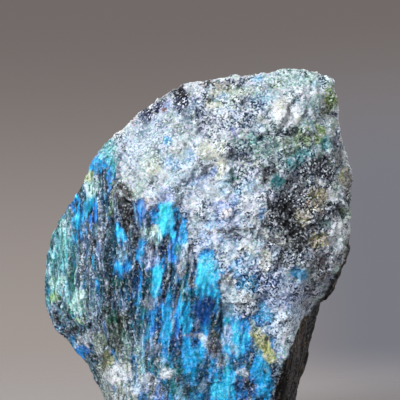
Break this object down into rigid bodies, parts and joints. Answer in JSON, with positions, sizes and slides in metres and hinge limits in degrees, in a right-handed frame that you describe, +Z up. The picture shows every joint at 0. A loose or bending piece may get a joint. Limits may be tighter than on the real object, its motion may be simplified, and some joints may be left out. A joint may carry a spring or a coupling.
{
  "type": "rough labradorite chunk",
  "caption": "Rough broken chunk of labradorite, standing upright on a flat fracture at its foot, with one striated blue flashing face and a crushed pale grey face",
  "frame": {"origin": "middle of the footprint box, on the plane of the flat broken base", "axes": "+Z up, as the chunk stands. -Y is the way the broad flashing face looks, +Y is the weathered back, +X is to the right seen from the front."},
  "size_m": [0.0776, 0.0452, 0.0964],
  "materials": {
    "labradorite": "rough broken feldspar, grey-white crushed grain with glassy blue and teal cleavage flashes"
  },
  "bodies": {
    "root": {"labradorite_chunk": "labradorite"}
  },
  "joints": []
}
